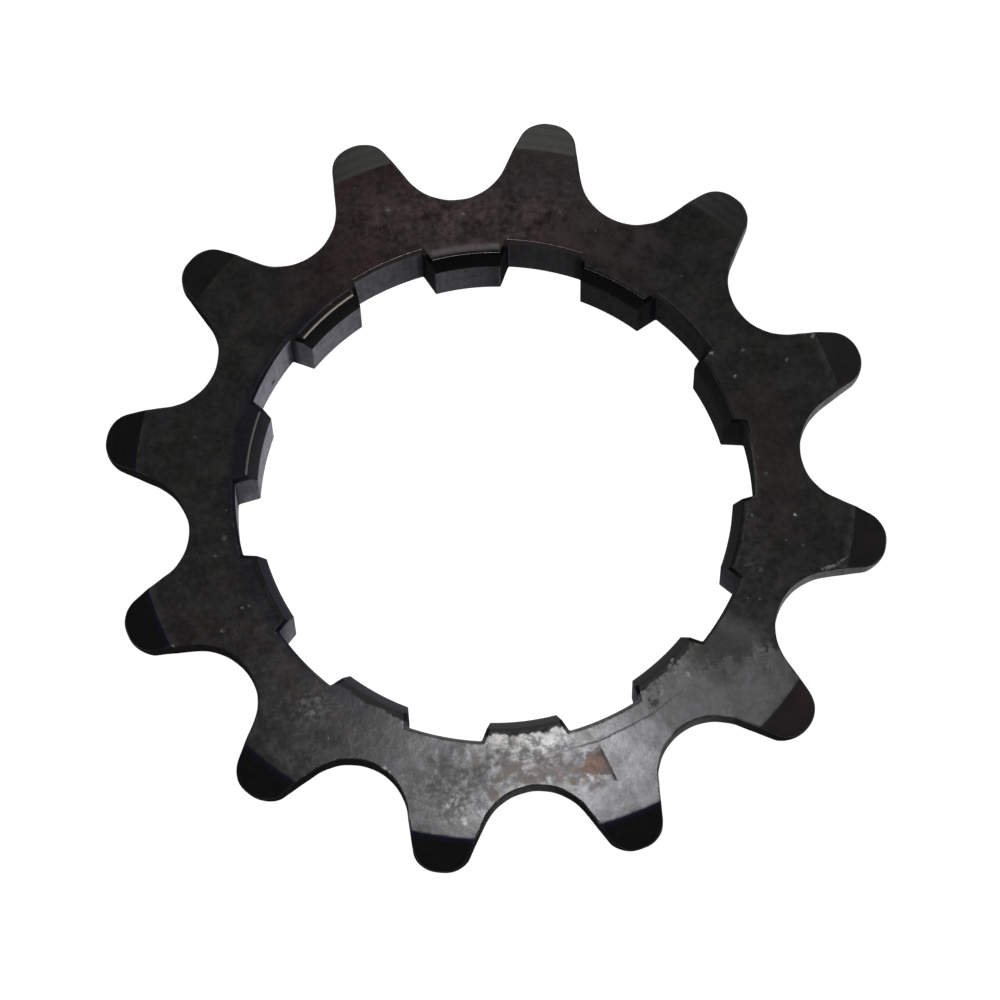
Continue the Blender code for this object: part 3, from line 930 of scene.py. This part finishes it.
    # yellow-green deposit on the lower right lug
    deposit = n.mul(n.band(deg, -63.5, -45.5, 1.2), n.ramp(
        n.plus(n.r, n.mul(n.less(cloud, 0.5), 1.5)), 18.0, 17.0))
    colour = n.mix(n.mul(deposit, 0.75), colour,
                   n.mix(n.ramp(spread, 0.40, 0.60), (0.035, 0.034, 0.032),
                         (0.27, 0.275, 0.20)))
    dull = n.either(dull, n.mul(deposit, n.ramp(spread, 0.56, 0.42), 0.5))

    colour = n.mix(n.mul(rim, 0.9), colour, (0.0028, 0.0028, 0.0034))
    lip = n.mul(on_lug, n.ramp(n.r, 16.87, 16.80), n.either(
        n.band(deg, -180.0, 106.0, 1.0), n.band(deg, 176.0, 181.0, 1.0)))
    colour = n.mix(n.mul(lip, 0.9), colour, (0.005, 0.005, 0.006))
    dull = n.either(dull, n.mul(rim, n.band(deg, -142.0, -40.0, 3.0), 0.85))

    # nicks, scratches and pits
    for x, y, r, pale in NICKS:
        colour = n.mix(n.mul(n.spot(x, y, r, grit), pale), colour,
                       (0.92, 0.92, 0.90))
    for x, y, rx, ry, a, pale in SCRATCHES:
        colour = n.mix(n.mul(n.blob(x, y, rx, ry, a, 0.6, grit, 3.0), pale), colour,
                       (0.90, 0.90, 0.88))
    pits = None
    for x, y, rx, ry, a, depth in PITS:
        b = n.mul(n.blob(x, y, rx, ry, a, 0.7, grit, 3.0), depth)
        pits = b if pits is None else n.either(pits, b)
    strewn = n.ramp(n.cells(1.05, 4.0), 0.10, 0.05)
    keep = n.ramp(n.noise(2.4, 2.0, 0.5, 87.0), 0.52, 0.60)
    colour = n.mix(n.mul(strewn, keep, 0.14), colour, (0.75, 0.75, 0.72))
    colour = n.mix(n.mul(pits, 0.7), colour, (0.010, 0.010, 0.012))
    dull = n.either(dull, n.mul(pits, 0.6))
    rough = n.lerp(dull, rough, 0.62)

    height = n.plus(n.mul(mid, 0.0095), n.mul(fine, 0.0032),
                    n.mul(grit, 0.0011), n.mul(pits, -0.010),
                    n.mul(strewn, keep, -0.003))
    n.finish(colour, rough, n.bump(height))
    return mat


def bevel_finish():
    mat = bpy.data.materials.new("bevel_turned")
    n = Nodes(mat)
    deg = n.degrees()
    fine = n.noise(0.5, 2.0, 0.5, 5.0)
    mid = n.noise(1.4, 3.0, 0.6, 15.0)
    colour = n.tint((0.0075, 0.0077, 0.0072), n.plus(0.6, n.mul(0.8, fine)))
    # painted light: the bevels on the right side are lighter and warmer, as if lit
    # from the right
    warm = n.mul(n.band(deg, -58.0, 40.0, 6.0), n.plus(0.4, n.mul(0.9, mid)),
                 n.less(1.0, n.mul(0.38, n.band(deg, -24.0, 28.0, 5.0))))
    colour = n.mix(warm, colour, (0.048, 0.041, 0.042))
    rust = n.mul(n.blob(19.3, -16.3, 0.7, 1.3, -42.0, 0.6, mid, 1.5), 0.5)
    colour = n.mix(rust, colour, (0.090, 0.046, 0.034))
    blue = n.mul(n.ramp(n.r, 24.60, 24.20), n.band(n.math("ABSOLUTE", deg),
                                                 68.0, 181.0, 3.0),
                 n.ramp(n.y, 8.0, 4.0))
    colour = n.mix(n.mul(blue, n.plus(0.45, n.mul(0.3, n.ramp(n.y, -14.0, -22.0)))),
                   colour, (0.010, 0.012, 0.060))
    rings = n.math("SINE", n.plus(n.mul(n.r, 21.0), n.mul(mid, 4.0)))
    slow = n.math("SINE", n.plus(n.mul(n.r, 8.5), 1.0))
    height = n.plus(n.mul(rings, 0.0006), n.mul(slow, 0.0035), n.mul(fine, 0.004))
    n.finish(colour, n.plus(0.26, n.mul(0.1, fine)), n.bump(height), ior=1.55)
    return mat


def wall_finish(name, dark, light, corner_shade=0.0):
    """Sawn and broached walls: streaked along the axis, painted lighter where the
    wall-light attribute is high, and painted darker in the corners as shade.
    """
    mat = bpy.data.materials.new(name)
    n = Nodes(mat)
    fine = n.noise(0.6, 3.0, 0.55, 3.0)
    streak = n.noise(0.30, 3.0, 0.6, 9.0, stretch=(1.0, 1.0, 0.15))
    patch = n.noise(1.3, 3.0, 0.6, 19.0)
    # painted light: the wall's tone runs from dark to light with the painted
    # wall-light attribute
    fac = n.mul(n.attribute("painted_wall_light"), n.plus(0.65, n.mul(0.2, fine), n.mul(0.5, patch)))
    colour = n.mix(fac, dark, light)
    colour = n.tint(colour, n.plus(0.76, n.mul(0.26, n.ramp(streak, 0.3, 0.7)),
                                   n.mul(0.22, n.ramp(fine, 0.3, 0.7))))
    if corner_shade:
        # painted shade: the lug flanks darker next to the bore's corners, more towards
        # the far side
        corner = n.mul(n.ramp(n.r, 16.75, 17.25), n.ramp(n.r, 17.405, 17.37),
                       n.ramp(n.y, 3.0, 8.0, 0.3, 1.0))
        colour = n.mix(n.mul(corner, corner_shade), colour, (0.006, 0.006, 0.010))
        # painted shade in the nooks where the lug flanks meet the bore, stronger
        # deeper in
        at = n.less(n.math("MODULO", n.plus(n.degrees(), 288.0), 36.0), 18.0)
        nook_shade = n.mul(n.ramp(n.r, 17.30, 17.40), n.ramp(at, 11.9, 10.3),
                     n.ramp(at, 7.0, 9.0), n.ramp(n.z, 4.9, 4.2, 0.5, 1.0))
        colour = n.mix(n.mul(nook_shade, 0.8), colour, (0.012, 0.010, 0.012))
        speck = n.blob(-13.9, 10.4, 0.16, 0.16, 0.0, 0.5, fine, 1.5)
        colour = n.mix(n.mul(speck, n.band(n.z, 1.4, 1.9, 0.1)), colour,
                       (0.02, 0.02, 0.02))
    height = n.plus(n.mul(streak, 0.006), n.mul(fine, 0.004))
    n.finish(colour, n.plus(0.42, n.mul(0.3, n.less(fine, 0.5))),
             n.bump(height, 0.6))
    n.shader.inputs["Specular IOR Level"].default_value = 0.0
    return mat


def edge_finish():
    """The lugs' front chamfers, black, and the broken edge round the bore; both have
    light and shade painted into their tone round the ring.
    """
    mat = bpy.data.materials.new("broken_edges")
    n = Nodes(mat)
    deg = n.degrees()
    fine = n.noise(0.45, 3.0, 0.6, 29.0)
    # painted light and shade: each lug's chamfer has its own tone by the way it faces,
    # darkest on the far lugs, lighter on the left and near ones
    base = n.mix(n.band(deg, 36.0, 108.0, 2.0), (0.0062, 0.0059, 0.0064),
                 (0.0020, 0.0019, 0.0022))
    for at, tone in ((126.0, (0.0105, 0.0090, 0.0094)),
                     (162.0, (0.0280, 0.0260, 0.0320)),
                     (-162.0, (0.0215, 0.0205, 0.0350)),
                     (-126.0, (0.0260, 0.0240, 0.0355)),
                     (-90.0, (0.0170, 0.0164, 0.0215)),
                     (-54.0, (0.0068, 0.0066, 0.0080))):
        base = n.mix(n.band(deg, at - 14.0, at + 14.0, 2.0), base, tone)
    colour = n.tint(base, n.plus(0.4, n.mul(1.0, fine),
                                 n.mul(0.35, n.ramp(n.r, 16.55, 16.10))))
    # painted light and shade on the bore's broken edge: lightest on the near side,
    # lighter at the right, darkest and bluish at the left
    ring = n.ramp(n.r, 17.05, 17.30)
    shade = n.mix(n.band(deg, 42.0, 142.0, 8.0), (0.016, 0.016, 0.020),
                  (0.050, 0.042, 0.041))
    shade = n.mix(n.band(deg, -12.0, 4.0, 4.0), shade, (0.080, 0.078, 0.082))
    shade = n.mix(n.band(n.math("ABSOLUTE", deg), 146.0, 181.0, 6.0), shade,
                  (0.009, 0.009, 0.022))
    shade = n.mix(n.band(deg, -140.0, -52.0, 8.0), shade, (0.150, 0.150, 0.160))
    colour = n.mix(ring, colour, n.tint(shade, n.plus(0.5, fine)))
    n.finish(colour, n.plus(0.38, n.mul(0.3, n.less(fine, 0.5))),
             n.bump(n.mul(fine, 0.004)))
    n.shader.inputs["Specular IOR Level"].default_value = 0.04
    return mat


def back_finish():
    """Boss and back: turned, so marked in rings, stained and rubbed on edges."""
    mat = bpy.data.materials.new("back_black_oxide")
    n = Nodes(mat)
    mid = n.noise(1.8, 3.0, 0.6, 71.0)
    fine = n.noise(0.4, 3.0, 0.6, 73.0)
    grit = n.noise(0.13, 2.0, 0.6, 79.0)
    broad = n.noise(4.5, 3.0, 0.6, 83.0)
    # lathe marks run round the axis: noise of radius and height alone
    turned = n.add("ShaderNodeCombineXYZ")
    n.put(n.r, turned.inputs[0])
    n.put(n.z, turned.inputs[1])
    marks = n.add("ShaderNodeTexNoise")
    n.link(turned.outputs[0], marks.inputs["Vector"])
    marks.inputs["Scale"].default_value = 7.0
    marks.inputs["Detail"].default_value = 3.0
    marks.inputs["Roughness"].default_value = 0.7
    marks = marks.outputs["Fac"]
    colour = n.mix(n.ramp(broad, 0.36, 0.64), (0.026, 0.025, 0.026),
                   (0.040, 0.034, 0.031))
    colour = n.tint(colour, n.plus(0.30, n.ramp(mid, 0.35, 0.65, 0.0, 0.5),
                                   n.ramp(fine, 0.35, 0.65, 0.0, 0.5),
                                   n.ramp(marks, 0.35, 0.65, 0.0, 0.5)))
    rust = n.mul(n.ramp(n.plus(n.mul(broad, 0.6), n.mul(fine, 0.4)), 0.51, 0.62),
                 n.ramp(grit, 0.35, 0.60))
    colour = n.mix(n.mul(rust, 0.6), colour, (0.105, 0.052, 0.034))
    corner = n.mul(n.band(n.r, R_BOSS - BOSS_CHAMFER, R_BOSS + 0.02, 0.10),
                   n.ramp(n.z, BOSS_CHAMFER + 0.22, BOSS_CHAMFER - 0.02))
    worn = n.mul(corner, n.ramp(n.plus(n.mul(mid, 0.6), n.mul(fine, 0.4)), 0.42, 0.56))
    colour = n.mix(n.mul(worn, 0.6), colour, (0.24, 0.235, 0.23))
    ring = n.mul(n.ramp(n.z, 0.05, 0.02),
                 n.band(n.plus(n.r, n.mul(n.less(mid, 0.5), 0.8)), 17.9, 18.8, 0.3),
                 n.plus(0.3, n.mul(0.8, fine)))
    colour = n.mix(n.mul(ring, 0.30), colour, (0.20, 0.20, 0.20))
    height = n.plus(n.mul(marks, 0.006), n.mul(fine, 0.005), n.mul(mid, 0.010),
                    n.mul(grit, 0.0015))
    n.finish(colour, n.plus(0.24, n.mul(0.16, mid), n.mul(0.16, fine),
                            n.mul(0.10, marks), n.mul(0.15, rust)),
             n.bump(height))
    return mat


for mat in (front_finish(), bevel_finish(),
            wall_finish("tooth_walls", (0.011, 0.011, 0.011), (0.20, 0.20, 0.20)),
            wall_finish("bore_walls", (0.020, 0.020, 0.021), (0.31, 0.305, 0.35),
                        0.8),
            edge_finish(),
            back_finish()):
    cog_mesh.materials.append(mat)
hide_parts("cog")
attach(cog, "root")

# ------------------------------------------------------------------ the floor
bpy.ops.mesh.primitive_plane_add(size=3.0, location=(0, 0, 0))
floor = bpy.context.object
floor.name = "floor"
fm = bpy.data.materials.new("floor_white")
fm.use_nodes = True
fb = fm.node_tree.nodes["Principled BSDF"]
fb.inputs["Base Color"].default_value = (0.85, 0.85, 0.85, 1)
fb.inputs["Roughness"].default_value = 0.9
fb.inputs["Specular IOR Level"].default_value = 0.0
fb.inputs["Emission Color"].default_value = (1, 1, 1, 1)
fb.inputs["Emission Strength"].default_value = 0.96
floor.data.materials.append(fm)

# ------------------------------------------------------------------ the light
# A pale horizon that falls off to a dim ceiling
world = bpy.data.worlds.new("studio")
bpy.context.scene.world = world
world.use_nodes = True
wt = world.node_tree
bg = wt.nodes["Background"]
tc = wt.nodes.new("ShaderNodeTexCoord")
sp = wt.nodes.new("ShaderNodeSeparateXYZ")
wt.links.new(tc.outputs["Generated"], sp.inputs[0])
low = wt.nodes.new("ShaderNodeMapRange")
low.interpolation_type = "SMOOTHSTEP"
wt.links.new(sp.outputs["Z"], low.inputs["Value"])
for key, v in (("From Min", 0.10), ("From Max", 0.38), ("To Min", 0.95),
               ("To Max", 0.045)):
    low.inputs[key].default_value = v
wt.links.new(low.outputs[0], bg.inputs["Strength"])
bg.inputs["Color"].default_value = (1.0, 1.0, 1.0, 1)


def softbox(name, place, aim, size, radiance, colour=(1, 1, 1)):
    """A rectangular soft light, set by how bright its face is."""
    data = bpy.data.lights.new(name, "AREA")
    data.shape = "RECTANGLE"
    data.size, data.size_y = (size[0] * MM, size[1] * MM)
    data.energy = radiance * math.pi * size[0] * size[1] * MM * MM
    data.color = colour
    ob = bpy.data.objects.new(name, data)
    bpy.context.scene.collection.objects.link(ob)
    ob.location = Vector(place) * MM
    d = Vector(aim) - Vector(place)
    ob.rotation_euler = d.to_track_quat("-Z", "Y").to_euler()
    return ob


softbox("key", (3.6, 0.2, 85.0), (2, -19, 5), (12, 7), 39.0, (0.975, 0.965, 1.0))
softbox("far_panel", (60, 420, 340), (0, 0, 0), (300, 170), 1.6, (1.0, 1.0, 0.96))

# ----------------------------------------------------------------- the camera
cam_data = bpy.data.cameras.new("camera")
cam_data.sensor_width = 36.0
cam_data.lens = 36.0 * 6.407668
cam_data.clip_start = 0.05
camera = bpy.data.objects.new("camera", cam_data)
bpy.context.scene.collection.objects.link(camera)
camera.location = (-10.6395 * MM, -122.0625 * MM, 416.7118 * MM)
camera.rotation_euler = (0.28757592, 0.00871777, -0.11895508)
bpy.context.scene.camera = camera

bpy.context.scene.view_settings.view_transform = "Standard"
bpy.context.scene.view_settings.look = "None"
